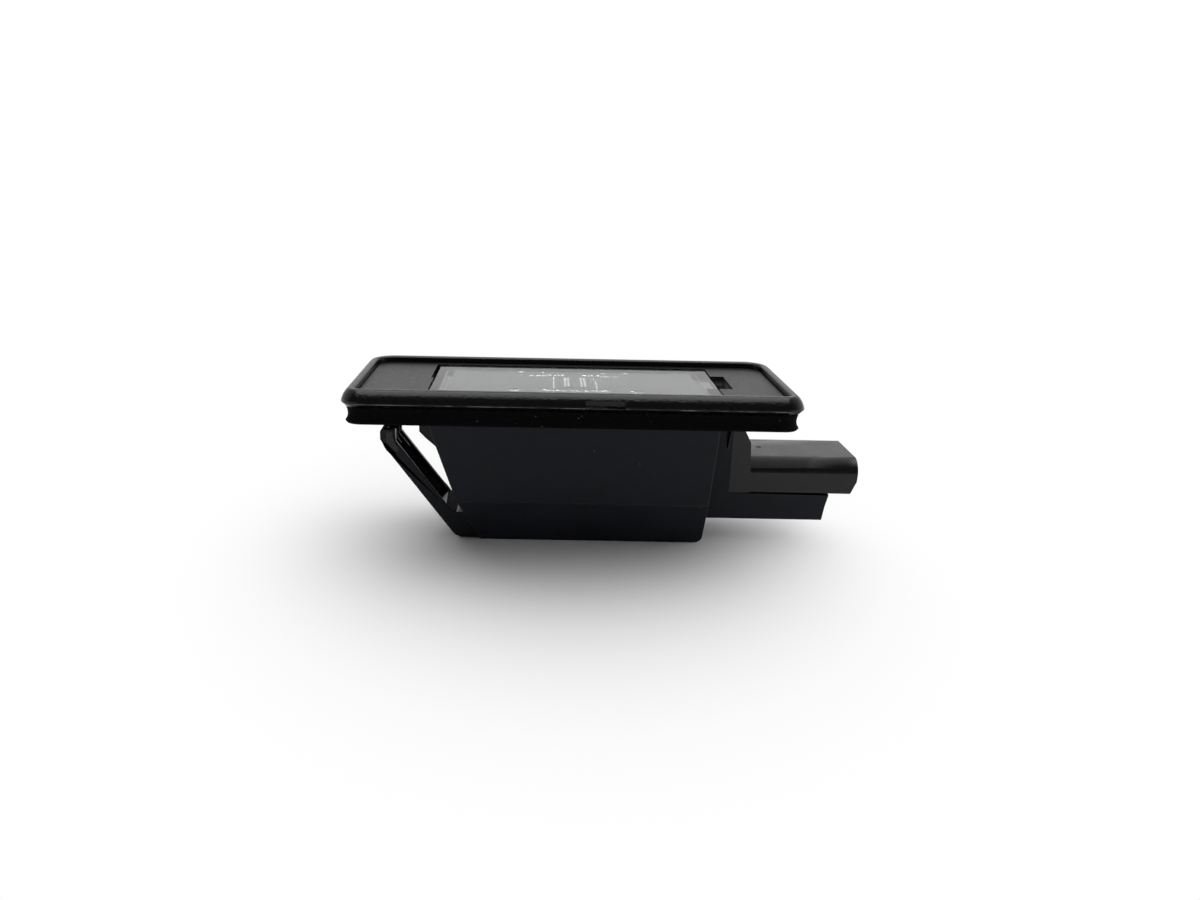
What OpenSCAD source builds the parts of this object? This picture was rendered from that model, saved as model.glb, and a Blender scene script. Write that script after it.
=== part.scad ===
// Number plate lamp of a car, lying with its lens up.
// The origin is the middle of the gasket's underside, the face that seals on the body panel.
// +X runs to the plug socket, +Z out of the lens, and the spring latch stands at -X.

/* [Bezel] */
// Length of the bezel along the lamp
bezel_l = 70.2; // [66:0.2:80]
// Width of the bezel
bezel_w = 28.7; // [27.5:0.1:34]
// Height of the bezel above its gasket
bezel_h = 2.8; // [2.4:0.1:4]
// Radius of the bezel's two back corners in plan
back_r = 4.9; // [4:0.1:6]
// Radius of the bezel's two front corners in plan
front_r = 3.2; // [2.8:0.1:6]
// Width of the raised rim
rim_w = 2.2; // [1.8:0.1:2.5]
// Depth of the recess inside the rim
recess_d = 0.9; // [0.6:0.1:1.3]
// Length of the pry notch in the front edge
pry_l = 6; // [4:0.5:12]

/* [Gasket] */
// Thickness of the foam gasket
gasket_t = 2.5; // [1.5:0.1:4]
// How far the gasket stands back from the bezel's edge
gasket_inset = 0.6; // [0.4:0.1:0.8]
// Depth of the gasket's hollow side
gasket_dip = 0.4; // [0.1:0.05:0.7]
// Width of the gasket on the short sides
gasket_end_w = 3.6; // [3:0.1:4.5]
// Width of the gasket on the long sides
gasket_side_w = 2.9; // [2.5:0.05:3.2]
// Clearance between the gasket and the trough
gasket_fit = 0.15; // [0.05:0.05:0.3]

/* [Trough] */
// Outer length of the trough under the flange
trough_l = 45.3; // [43:0.1:47]
// Distance of the trough's middle from the bezel's middle
trough_x = 0.3; // [-0.5:0.1:0.8]
// Depth of the trough below the gasket
trough_d = 20.1; // [19.5:0.1:24]
// Height of the tapered foot of the trough
foot_h = 6.9; // [5:0.1:8]
// Wall of the trough
wall = 1.5; // [1.2:0.1:1.8]

/* [Lens] */
// Ledge that carries the lens's long sides
side_ledge = 0.7; // [0.5:0.05:1]
// Ledge that carries the lens's ends
end_ledge = 1.35; // [1.1:0.05:1.4]
// Thickness of the lens plate
lens_t = 1.6; // [1.4:0.1:2]
// Height of the skirt under the lens
skirt_h = 2.6; // [2:0.1:3.2]
// Thickness of the skirt
skirt_t = 1; // [0.8:0.1:1.3]
// Clearance round the lens
lens_gap = 0.3; // [0.15:0.05:0.4]
// Width of one prism on the underside
prism_w = 0.5; // [0.3:0.05:0.7]

/* [Latch] */
// Width of the latch arm
arm_w = 7.6; // [6:0.1:8.4]
// Distance of the arm behind the trough's front face
arm_setback = 2.7; // [2.4:0.1:3.4]
// Thickness of the arm
arm_t = 2; // [1.6:0.1:2.3]
// Depth of the channel along the arm's inner face
channel_d = 1.15; // [0.6:0.05:1.2]
// Width of the flanges beside the channel
flange_w = 0.9; // [0.7:0.05:1.2]
// Distance of the arm's tip from the trough's top edge
arm_reach = 7.6; // [6.8:0.1:8]
// Drop of the arm's tip below the gasket
arm_drop = 2.2; // [2.1:0.05:3]
// Height of the hooked head
head_h = 3.4; // [2.8:0.1:4.2]

/* [Bulb holder] */
// Depth of the bulb's axis below the gasket
axis_z = 9.2; // [9.1:0.1:9.5]
// Diameter of the holder's barrel
barrel_d = 11.4; // [11:0.1:11.6]
// Clearance round the barrel
barrel_gap = 0.1; // [0.05:0.05:0.2]
// Length of the barrel inside the collar
barrel_l = 11; // [10:0.1:12]
// Thickness of the cradle's frame on the end wall
cradle_t = 2.7; // [2.4:0.1:3.2]
// Length of the cradle's shelf from the frame
shelf_l = 16; // [12:0.5:18]
// Height of the cradle's shelf
shelf_h = 4.4; // [4:0.1:4.8]
// Thickness of the collar
collar_t = 3.2; // [2.6:0.1:4]
// Width of the collar, the socket's shroud, the frame and the shelf
holder_w = 13.8; // [13.4:0.1:14.6]

/* [Plug socket] */
// Height of the socket's shroud
shroud_h = 5.6; // [5.6:0.1:6]
// Radius of the shroud's two upper edges
shoulder_r = 2.5; // [1.5:0.1:2.7]
// Length of the shroud beyond the collar
shroud_l = 17.15; // [16:0.05:20]
// Wall of the shroud
shroud_wall = 1.1; // [1:0.05:1.2]
// Depth of the socket
socket_d = 11; // [9:0.5:12]

/* [Terminals] */
// Width of a terminal
term_w = 2.2; // [1.8:0.1:2.4]
// Thickness of a terminal
term_t = 0.6; // [0.5:0.05:0.7]
// Spacing of the two terminals
term_pitch = 5; // [4.8:0.1:5.4]
// Length of a blade inside the socket
blade_l = 7.5; // [5:0.5:8.5]

/* [Bulb] */
// Diameter of the bulb's glass
bulb_d = 10; // [9:0.1:10.2]
// Length of the bulb with its wedge
bulb_l = 26.8; // [24:0.2:28]
// Wall of the glass
glass_t = 0.7; // [0.5:0.05:0.9]
// Width of the wedge
wedge_w = 9.2; // [8.6:0.1:9.4]
// Thickness of the wedge
wedge_t = 2.2; // [2:0.1:2.4]
// Length of the wedge
wedge_l = 7; // [6:0.1:7.5]
// Diameter of the bulb's leads
lead_d = 0.5; // [0.4:0.05:0.6]

/* [Hidden] */
$fn = 48;

// widths of the trough and the lens, from the bezel inward
trough_w = bezel_w - 2 * (gasket_inset + gasket_side_w + gasket_fit);
lens_w = trough_w - 2 * wall + 2 * side_ledge;
lens_l = trough_l - 2 * wall + 2 * end_ledge;
arm_front = trough_w / 2 - arm_setback;

// heights, measured from the gasket's underside
rim_z = gasket_t + bezel_h;
floor_z = rim_z - recess_d;
ledge_z = floor_z - lens_t;
break_z = foot_h - trough_d;

// the trough's outline seen from the front and from the end
left_slope = 0.342;
left_foot_slope = 0.529;
right_slope = 0.072;
side_slope = 0.023;
side_foot_slope = 0.2;
foot_r = 1.3;
trough_left = trough_x - trough_l / 2;
trough_right = trough_x + trough_l / 2;

// lens, its seat and its snap tab
seat_play = 0.4;
lens_x = trough_x + 0.25;
skirt_l = trough_l - 2 * wall - 0.5;
skirt_w = trough_w - 2 * wall - 0.3;
skirt_x = trough_x + 0.15;
optic_y = skirt_w / 2 - skirt_t;
lens_left = lens_x - lens_l / 2;
lens_right = lens_x + lens_l / 2;
lens_r = 0.8;
slot_l = 2.5;
slot_w = 9;
slot_d = 2.6;
pry_x = 4.9;
tab_t = 1;
tab_w = 6;
tab_hook = 0.5;
tab_gap = 0.15;

// cradle and bulb holder
frame_x = trough_right;
seat_x = frame_x + cradle_t;
shroud_z = shroud_h / 2 - axis_z;
shroud_low = shroud_z - shroud_h;
shelf_gap = 0.1;
shelf_z = shroud_low - shelf_gap;
shelf_end = seat_x + shelf_l;
bore_d = barrel_d + 2 * barrel_gap;
collar_z = -1;
mouth_x = seat_x - barrel_l;
shroud_r = 0.3;
socket_end = seat_x + collar_t + shroud_l;
web_x = socket_end - socket_d;

// bulb: its neck meets the barrel's mouth and the wedge fills the pocket behind it
wedge_gap = 0.15;
neck_gap = 0.2;
turn_room = 0.7;
bulb_neck = mouth_x - neck_gap;
bulb_foot = bulb_neck + wedge_l;
bulb_tip = bulb_foot - bulb_l;
pocket_l = wedge_l - neck_gap + turn_room;
pocket_end = mouth_x + pocket_l;
lead_y = term_pitch / 2;
lead_in = bulb_l / 3;
lead_back = 0.69 * wedge_l;
bead_back = bulb_l / 5.2;
leaf_start = mouth_x + wedge_l / 9;
bulb_r = bulb_d / 2;

// Points of an arc in the plane, from angle a0 to angle a1
function arc(cx, cy, r, a0, a1, n) =
    [for (i = [0 : n]) [cx + r * cos(a0 + (a1 - a0) * i / n), cy + r * sin(a0 + (a1 - a0) * i / n)]];

// Rectangle drawn about its middle, with its corners rounded by rn in front and rf at the back
module plan(l, w, rn, rf) {
    for (x = [-1, 1]) {
        translate([x * (l / 2 - rn), rn - w / 2]) circle(r = rn);
        translate([x * (l / 2 - rf), w / 2 - rf]) circle(r = rf);
    }
    translate([-l / 2, rn - w / 2]) square([l, w - rn - rf]);
    translate([rn - l / 2, -w / 2]) square([l - 2 * rn, w / 2]);
    translate([rf - l / 2, 0]) square([l - 2 * rf, w / 2]);
}

// Carries a section round the outline that plan draws. The section's x is measured
// from the outline, inward as minus, and its y is the height.
module sweep_plan(l, w, rn, rf) {
    for (mx = [0, 1]) mirror([mx, 0, 0]) {
        translate([l / 2 - rf, w / 2 - rf, 0]) rotate_extrude(angle = 90) translate([rf, 0]) children();
        translate([l / 2 - rn, rn - w / 2, 0]) rotate([0, 0, -90])
            rotate_extrude(angle = 90) translate([rn, 0]) children();
        translate([l / 2, w / 2 - rf, 0]) rotate([90, 0, 0]) linear_extrude(w - rn - rf) children();
    }
    translate([rf - l / 2, w / 2, 0]) rotate([90, 0, 90]) linear_extrude(l - 2 * rf) children();
    mirror([0, 1, 0]) translate([rn - l / 2, w / 2, 0])
        rotate([90, 0, 90]) linear_extrude(l - 2 * rn) children();
}

// Extrudes a front view (x, z) along Y from y0 to y1
module along_y(y0, y1) {
    translate([0, y1, 0]) rotate([90, 0, 0]) linear_extrude(y1 - y0) children();
}

// Extrudes an end view (y, z) along X from x0 to x1
module along_x(x0, x1) {
    translate([x0, 0, 0]) rotate([90, 0, 90]) linear_extrude(x1 - x0) children();
}

// Section of the bezel's rim: undercut foot, widest line, sloping flank, crest and inner wall
module rim_section() {
    r_in = 0.35;
    undercut = 0.75;
    wide_z = gasket_t + 0.28 * bezel_h;
    crest = 1.3;
    polygon(concat(
        [[-rim_w - 0.5, gasket_t], [-undercut, gasket_t], [-0.06, wide_z - 0.08], [0, wide_z + 0.02],
        [-0.17, wide_z + 0.55], [-0.42, wide_z + 1.08], [-0.74, rim_z - 0.47], [-1.02, rim_z - 0.2],
        [-crest, rim_z]],
        arc(r_in - rim_w, rim_z - r_in, r_in, 90, 180, 3),
        [[-rim_w - 0.05, floor_z - 0.3], [-rim_w - 0.5, floor_z - 0.3]]
    ));
}

module bezel() {
    sweep_plan(bezel_l, bezel_w, front_r, back_r) rim_section();
    plate_in = rim_w + 0.3;
    translate([0, 0, gasket_t]) linear_extrude(floor_z - gasket_t)
        plan(bezel_l - 2 * plate_in, bezel_w - 2 * plate_in, front_r - plate_in, back_r - plate_in);
}

// Front view of the trough, moved in by d on every side, up to the height top
module trough_front(d, top) {
    lx = trough_left + d * 1.06;
    rx = trough_right - d;
    bz = d - trough_d;
    lb = lx - left_slope * break_z;
    lf = lb + left_foot_slope * (break_z - bz);
    rb = rx + right_slope * bz;
    polygon(concat(
        [[lx, top], [lx, 0], [lb, break_z], [lf, bz]],
        arc(rb - foot_r, bz + foot_r, foot_r, -90, 0, 4),
        [[rx, 0], [rx, top]]
    ));
}

// End view of the trough, moved in by d on every side, up to the height top
module trough_end(d, top) {
    hy = trough_w / 2 - d;
    by = hy + side_slope * break_z;
    bz = d - trough_d;
    fy = by - side_foot_slope * (break_z - bz);
    polygon([[-hy, top], [-hy, 0], [-by, break_z], [-fy + 0.4, bz], [fy - 0.4, bz], [by, break_z], [hy, 0], [hy, top]]);
}

module trough_form(d, top) {
    intersection() {
        along_y(-bezel_w, bezel_w) trough_front(d, top);
        along_x(-bezel_l, bezel_l) trough_end(d, top);
    }
}

// Front view of the latch arm: hooked head, straight spring, root curve and root web
module latch_front() {
    tip_x = trough_left - arm_reach;
    tip_z = -arm_drop;
    knee_z = tip_z - head_h;
    foot_z = -trough_d;
    run = 0.75;
    root_z = foot_z + 0.9;
    out_x = tip_x + 1;
    root_x = out_x + run * (knee_z - root_z);
    in_x = out_x + arm_t * sqrt(1 + run * run);
    web_z = foot_z + 4.3;
    web_in = in_x + run * (knee_z - web_z - 1);
    wall_x = trough_left - left_slope * break_z + left_foot_slope * (break_z - foot_z);
    polygon([
        [tip_x + 0.25, tip_z], [tip_x, tip_z - 0.5], [tip_x, knee_z + 1.7], [out_x, knee_z],
        [root_x, root_z], [root_x + 0.6, root_z - 0.6], [root_x + 1.5, foot_z],
        [wall_x + 1, foot_z], [wall_x + 1, web_z],
        [web_in + 1.5, web_z], [web_in + 0.6, web_z + 0.35], [web_in, web_z + 1],
        [in_x - 0.75 * 1.4, knee_z + 1.4], [in_x - 0.75 * 1.4, tip_z]
    ]);
}

module latch_arm() {
    back_y = arm_w - arm_front;
    tip_x = trough_left - arm_reach;
    knee_z = -arm_drop - head_h;
    difference() {
        along_y(-arm_front, back_y) latch_front();
        // channel that lets the spring bend, between two flanges on the inner face
        along_y(flange_w - arm_front, back_y - flange_w) translate([(arm_t - channel_d) * 1.25, 0]) intersection() {
            latch_front();
            translate([tip_x, -trough_d + 5.6]) square([arm_reach + 8, trough_d - 5.6 - arm_drop + 1]);
        }
        // shallow polished pocket in the head's front face
        along_y(-arm_front - 1, 0.35 - arm_front)
            polygon([
                [tip_x + 0.75, knee_z + 0.6], [tip_x + 0.85, knee_z + 2.8], [tip_x + 1.8, knee_z + 2.8],
                [tip_x + 1.9, knee_z + 2.1], [tip_x + 2.75, knee_z + 0.25], [tip_x + 2.5, knee_z - 0.6],
                [tip_x + 1.1, knee_z]
            ]);
    }
    // thin ribs in the channel behind the head
    for (r = [[0.3, 1.5], [0.62, 0.3]])
        intersection() {
            along_y(-arm_front + arm_w * r[0], -arm_front + arm_w * r[0] + 0.4) latch_front();
            translate([tip_x, -bezel_w, knee_z + r[1] - 1]) cube([arm_reach, 2 * bezel_w, head_h + 1 - r[1]]);
        }
    // the lower half of the arm's back edge is a little wider
    intersection() {
        along_y(back_y - 0.5, back_y + 0.35) latch_front();
        translate([tip_x, back_y - 1, -trough_d]) cube([30, 2, 6.6]);
    }
}

// Rib that stiffens the left end wall under the flange, beside the latch arm
module end_rib() {
    rib_t = 0.9;
    rib_y = 0.8 - trough_w / 2;
    along_y(rib_y, rib_y + rib_t)
        polygon([
            [trough_left - 1.15, gasket_t + 0.3], [trough_left - 1.15, -2], [trough_left - 0.2, -3],
            [trough_left + 1.6, -4.6], [trough_left + 2.4, -4.6], [trough_left + 1.2, gasket_t + 0.3]
        ]);
}

// Frame on the end wall and the shelf that the bulb holder slides along
module cradle() {
    translate([frame_x - wall, -holder_w / 2, shelf_z - shelf_h])
        cube([wall + cradle_t, holder_w, gasket_t + 0.3 - shelf_z + shelf_h]);
    along_y(-holder_w / 2, holder_w / 2)
        polygon([
            [frame_x - wall, shelf_z - shelf_h], [shelf_end - 0.7, shelf_z - shelf_h],
            [shelf_end - 0.4, shelf_z - shelf_h / 2], [shelf_end, shelf_z - 0.4], [shelf_end, shelf_z],
            [frame_x - wall, shelf_z]
        ]);
}

// Two core pockets in the shelf's underside with a rib between them
module shelf_cores() {
    core_x = seat_x + 0.6;
    core_w = holder_w / 2 - 1.2 - 0.6;
    for (s = [0, 1])
        mirror([0, s, 0]) translate([core_x, 0.6, shelf_z - shelf_h - 1])
            cube([shelf_end - 1.6 - core_x, core_w, shelf_h + 1 - 1.3]);
}

module housing() {
    color("#1b1e25") difference() {
        union() {
            bezel();
            trough_form(0, gasket_t + 0.2);
            latch_arm();
            end_rib();
            cradle();
        }
        // lamp chamber
        trough_form(wall, ledge_z + 0.5);
        // seat of the lens, with more play in the far half of the left end
        translate([lens_x, 0, ledge_z]) linear_extrude(lens_t + 1)
            plan(lens_l + 2 * lens_gap, lens_w + 2 * lens_gap, lens_r, lens_r);
        translate([lens_left - lens_gap - seat_play, 0, ledge_z]) cube([2, lens_w / 2 + lens_gap, lens_t + 1]);
        // snap slot at the right end, open to the chamber below the flange
        translate([lens_right - 0.2, -slot_w / 2, ledge_z]) cube([slot_l + 0.2, slot_w, lens_t + 1]);
        translate([trough_right + 0.1, 0.5 - slot_w / 2, ledge_z - slot_d])
            cube([cradle_t - 0.9, slot_w - 1, slot_d + 1]);
        translate([trough_right - wall - 1, -tab_w / 2 - tab_gap, ledge_z - 0.9])
            cube([wall + 1 + tab_hook + tab_gap, tab_w + 2 * tab_gap, lens_t + 1]);
        // bore for the bulb holder's barrel
        translate([trough_right - 4, 0, -axis_z]) rotate([0, 90, 0]) cylinder(d = bore_d, h = cradle_t + 5);
        // lead-in notch at the front of the frame
        along_y(-holder_w / 2 - 1, 1.2 - holder_w / 2)
            polygon([[seat_x - 1.1, -1], [seat_x - 0.3, -1], [seat_x - 0.7, -4.5], [seat_x - 0.9, -4.5]]);
        // pry notch in the bezel's front edge
        translate([pry_x - pry_l / 2, -bezel_w / 2 - 1, gasket_t + 0.75]) cube([pry_l, 1.95, 1.1]);
        shelf_cores();
    }
}

// Foam frame with a hollow outer side
module gasket_section() {
    polygon([
        [-2, 0], [-0.2, 0], [0, 0.25], [-gasket_dip * 0.75, gasket_t * 0.3], [-gasket_dip, gasket_t * 0.5],
        [-gasket_dip * 0.85, gasket_t * 0.75], [-0.15, gasket_t], [-2, gasket_t]
    ]);
}

module gasket() {
    l = bezel_l - 2 * gasket_inset;
    w = bezel_w - 2 * gasket_inset;
    rn = front_r - gasket_inset;
    rf = back_r - gasket_inset;
    color("#08090b") difference() {
        union() {
            sweep_plan(l, w, rn, rf) gasket_section();
            linear_extrude(gasket_t) plan(l - 2, w - 2, rn - 1, rf - 1);
        }
        translate([0, 0, -1]) linear_extrude(gasket_t + 2)
            plan(l - 2 * gasket_end_w, w - 2 * gasket_side_w, 1.2, 1.2);
    }
}

// Bank of right-angled prisms on the lens's underside, side by side from x0 to x1
module prisms(x0, x1, y0, y1) {
    n = max(1, round((x1 - x0) / prism_w));
    w = (x1 - x0) / n;
    along_y(y0, y1) polygon(concat(
        [[x1, ledge_z + 0.1], [x0, ledge_z + 0.1], [x0, ledge_z]],
        [for (i = [0 : n - 1], k = [0, 1]) k == 0 ? [x0 + (i + 0.5) * w, ledge_z - w / 2] : [x0 + (i + 1) * w, ledge_z]]
    ));
}

// Prism line on the underside that runs along the lamp, w wide
module prism_line(x0, x1, y, w) {
    along_x(x0, x1) polygon([[y - w / 2, ledge_z + 0.1], [y - w / 2, ledge_z], [y, ledge_z - w / 2],
        [y + w / 2, ledge_z], [y + w / 2, ledge_z + 0.1]]);
}

// Optics that spread the bulb's light to both ends of the plate, alike on both sides of the middle.
// The rows along the edges keep their distance from the skirt's inner face, optic_y.
module lens_optics() {
    translate([lens_x + 0.1, 0, 0]) {
        for (m = [0, 1]) mirror([m, 0, 0]) {
            // broken line along the back edge
            for (f = [[6.3, 7.3], [7.7, 8.8], [10.4, 12.4], [12.8, 15.4], [16, 20.8]])
                prism_line(f[0], f[1], optic_y - 0.3, 0.3);
            // bright bars: a gate on each side of the middle and posts beside them
            for (f = [[0.86, 1.22, -3.2, 3], [1.42, 1.78, -3.2, 3], [0.86, 1.78, 3, 3.5], [3.3, 3.55, -4.6, 1.6]])
                prisms(f[0], f[1], f[2], f[3]);
            // dashes behind the gates and along the front edge
            for (f = [[2, 3], [3.2, 3.9], [4.1, 5.4]])
                prisms(f[0], f[1], optic_y - 2.85, optic_y - 2.25);
            for (f = [[0.3, 0.7], [1.7, 2.5], [3.4, 4.1], [4.4, 6.2]])
                prisms(f[0], f[1], 1.85 - optic_y, 2.2 - optic_y);
            prisms(9, 10.5, 1.55 - optic_y, 2.25 - optic_y);
            prisms(9.6, 10.2, optic_y - 0.85, optic_y - 0.55);
        }
        prism_line(-1.8, 1.8, -4.1, 0.5);
    }
}

module lens() {
    color("#a5a6a8") {
        translate([lens_x, 0, ledge_z]) linear_extrude(lens_t)
            plan(lens_l, lens_w, lens_r - lens_gap, lens_r - lens_gap);
        // skirt round the chamber's mouth, clear of the sloping left wall
        along_hole = skirt_h;
        difference() {
            translate([skirt_x - skirt_l / 2, -skirt_w / 2, ledge_z - along_hole])
                cube([skirt_l, skirt_w, along_hole + 0.2]);
            translate([skirt_x - skirt_l / 2 + skirt_t, skirt_t - skirt_w / 2, ledge_z - along_hole - 1])
                cube([skirt_l - 2 * skirt_t, skirt_w - 2 * skirt_t, along_hole + 1]);
        }
        // snap tab that catches under the flange at the right end
        translate([skirt_x + skirt_l / 2 - 0.1, -tab_w / 2, ledge_z - 0.8])
            cube([trough_right - wall - skirt_x - skirt_l / 2 + wall + tab_hook + 0.1, tab_w, 1]);
        lens_optics();
    }
}

// Outline of the shroud's end, moved in by d: round shoulders above, square edges below
module shroud_outline(d) {
    translate([0, -axis_z]) plan(holder_w - 2 * d, shroud_h - 2 * d, shroud_r, shoulder_r - d);
}

module bulb_holder() {
    collar_x = seat_x + collar_t;
    color("#202328") difference() {
        union() {
            translate([mouth_x, 0, -axis_z]) rotate([0, 90, 0]) cylinder(d = barrel_d, h = barrel_l);
            // collar against the cradle's frame, with a slanting upper corner
            along_y(-holder_w / 2, holder_w / 2) polygon([
                [seat_x, shroud_low], [collar_x, shroud_low], [collar_x, collar_z - 7.6],
                [collar_x - 0.25, collar_z - 2.7], [collar_x - 1.7, collar_z], [seat_x, collar_z]
            ]);
            along_x(seat_x, socket_end) shroud_outline(0);
        }
        // plug socket, with the lower corner of its mouth cut back
        along_x(web_x, socket_end + 1) shroud_outline(shroud_wall);
        along_y(-holder_w, holder_w)
            polygon([[socket_end - 1, shroud_low - 0.1], [socket_end + 0.1, shroud_low + 2.3], [socket_end + 2, shroud_low - 0.1]]);
        // mark that the tool's gate left on the shroud
        translate([collar_x + 2.6, 0.1, shroud_z - 0.15]) difference() {
            cylinder(d = 0.8, h = 1, $fn = 24);
            cylinder(d = 0.35, h = 1, $fn = 24);
        }
        // pocket for the bulb's wedge
        translate([mouth_x - 1, -wedge_w / 2 - wedge_gap, -axis_z - wedge_t / 2 - wedge_gap])
            cube([pocket_l + 1, wedge_w + 2 * wedge_gap, wedge_t + 2 * wedge_gap]);
        terminal_cut(1);
        terminal_cut(-1);
    }
}

// Centre line of a terminal in the front view: spring leaf on the lead, step, and blade.
// The leaf lies above the wedge for side 1 and below it for side -1.
leaf_z = wedge_t / 2 + lead_d + term_t;
function terminal_outline(play) = [
    [leaf_start, leaf_z - term_t - play], [pocket_end + 0.6, leaf_z - term_t - play],
    [pocket_end + 0.6 + leaf_z - term_t / 2, -term_t / 2 - play],
    [web_x + blade_l, -term_t / 2 - play], [web_x + blade_l, term_t / 2 + play],
    [pocket_end + 0.85 + leaf_z - term_t / 2, term_t / 2 + play], [pocket_end + 0.85, leaf_z + play],
    [leaf_start, leaf_z + play]
];

module terminal(side) {
    y0 = -side * lead_y - term_w / 2;
    translate([0, 0, -axis_z]) mirror([0, 0, side > 0 ? 0 : 1])
        along_y(y0, y0 + term_w) polygon(terminal_outline(0));
}

// Slot in the holder for a terminal, open to the wedge pocket along the leaf
module terminal_cut(side) {
    play = 0.05;
    y0 = -side * lead_y - term_w / 2 - play;
    translate([0, 0, -axis_z]) mirror([0, 0, side > 0 ? 0 : 1]) {
        along_y(y0, y0 + term_w + 2 * play) polygon(terminal_outline(play));
        translate([mouth_x - 1, y0, 0]) cube([pocket_l + 1, term_w + 2 * play, leaf_z + play]);
    }
}

module terminal_live() {
    color("#b9a06a") terminal(1);
}

module terminal_earth() {
    color("#b9a06a") terminal(-1);
}

// Half section of the bulb's glass, turned about the bulb's axis
module glass_section(d) {
    r = bulb_r - d;
    tip = bulb_tip + d;
    shoulder = bulb_neck - 2.4 - d;
    polygon(concat(
        [[0, tip]],
        arc(0, tip + r, r, -90, 0, 8),
        [[r, shoulder], [r * 0.86, shoulder + 1.2], [r * 0.6, shoulder + 2.4], [0, shoulder + 2.4]]
    ));
}

module lead_path(grow) {
    loop_r = wedge_t / 4 + lead_d / 4;
    r = lead_d / 2 + grow;
    turn_x = bulb_foot - 0.4;
    // straight run from the filament through the wedge
    translate([turn_x, 0, 0]) rotate([0, -90, 0]) cylinder(r = r, h = wedge_l - 0.4 + lead_in, $fn = 24);
    // turn round the wedge's end, and the run back along its face
    translate([turn_x, 0, loop_r]) rotate([90, 0, 0])
        rotate([0, 0, -90]) rotate_extrude(angle = 180) translate([loop_r, 0]) circle(r = r, $fn = 24);
    translate([turn_x, 0, loop_r * 2]) rotate([0, -90, 0]) cylinder(r = r, h = lead_back, $fn = 24);
}

module lead_place(side) {
    translate([0, -side * lead_y, -axis_z]) mirror([0, 0, side > 0 ? 0 : 1]) children();
}

module bulb_glass() {
    color([0.85, 0.88, 0.9, 0.5]) difference() {
        union() {
            translate([0, 0, -axis_z]) rotate([0, 90, 0]) rotate([0, 0, 90]) rotate_extrude() glass_section(0);
            translate([bulb_neck - 1.2, -wedge_w / 2, -axis_z - wedge_t / 2]) cube([wedge_l + 1.2, wedge_w, wedge_t]);
        }
        translate([0, 0, -axis_z]) rotate([0, 90, 0]) rotate_extrude() glass_section(glass_t);
        // channels that the leads are sealed in
        for (s = [-1, 1]) lead_place(s) lead_path(0.03);
    }
}

module bulb_lead_live() {
    color("#c9ccd0") lead_place(1) lead_path(0);
}

module bulb_lead_earth() {
    color("#c9ccd0") lead_place(-1) lead_path(0);
}

// Glass bead that holds the two leads apart inside the bulb
module bulb_bead() {
    bead_x = bulb_neck - bead_back;
    bead_play = 0.02;
    color([0.7, 0.75, 0.72]) difference() {
        translate([bead_x, -lead_y - 0.7, -axis_z]) rotate([-90, 0, 0]) cylinder(d = 1.3, h = term_pitch + 1.4, $fn = 24);
        for (s = [-1, 1]) lead_place(s)
            translate([bead_x - 2, 0, 0]) rotate([0, 90, 0]) cylinder(r = lead_d / 2 + bead_play, h = 4, $fn = 24);
    }
}

// Coiled filament between the ends of the leads
module bulb_filament() {
    color("#8a8c90") translate([bulb_neck - lead_in - 0.25, -lead_y - 0.25, -axis_z]) rotate([-90, 0, 0])
        cylinder(d = 0.5, h = term_pitch + 0.5, $fn = 24);
}

housing();
gasket();
lens();
bulb_holder();
terminal_live();
terminal_earth();
bulb_glass();
bulb_lead_live();
bulb_lead_earth();
bulb_bead();
bulb_filament();
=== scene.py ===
"""Finishes, fine pieces and studio for a number plate lamp that lies with its lens up."""
import math

import bmesh
import bpy
from mathutils import Matrix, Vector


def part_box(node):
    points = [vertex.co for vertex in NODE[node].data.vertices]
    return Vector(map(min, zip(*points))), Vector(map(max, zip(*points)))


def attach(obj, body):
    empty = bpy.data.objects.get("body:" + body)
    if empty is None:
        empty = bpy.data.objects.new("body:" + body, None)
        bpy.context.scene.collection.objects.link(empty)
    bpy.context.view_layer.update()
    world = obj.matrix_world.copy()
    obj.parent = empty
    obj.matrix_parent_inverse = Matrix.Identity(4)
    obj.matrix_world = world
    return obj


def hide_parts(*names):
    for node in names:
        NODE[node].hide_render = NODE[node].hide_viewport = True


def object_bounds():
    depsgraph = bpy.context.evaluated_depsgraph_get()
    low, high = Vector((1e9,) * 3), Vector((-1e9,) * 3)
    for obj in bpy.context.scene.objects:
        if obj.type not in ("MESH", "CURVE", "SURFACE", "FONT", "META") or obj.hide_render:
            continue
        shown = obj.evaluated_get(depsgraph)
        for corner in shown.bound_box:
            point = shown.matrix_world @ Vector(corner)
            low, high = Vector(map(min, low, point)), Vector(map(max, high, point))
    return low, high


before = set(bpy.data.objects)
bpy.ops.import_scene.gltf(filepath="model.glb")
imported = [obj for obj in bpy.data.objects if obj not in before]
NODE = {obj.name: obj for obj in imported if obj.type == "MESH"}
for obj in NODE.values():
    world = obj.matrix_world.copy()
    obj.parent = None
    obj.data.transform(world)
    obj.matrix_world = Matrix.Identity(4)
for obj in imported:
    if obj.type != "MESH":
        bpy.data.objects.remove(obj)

bl_info = {
    "name": "Number plate lamp",
    "version": (1, 0, 0),
    "blender": (4, 5, 0),
    "location": "3D View > Sidebar > Plate lamp",
    "description": "Dresses the lamp's housing, gasket, lens, bulb and plug socket, "
                   "and sets up the studio",
    "category": "Object",
}

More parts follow.
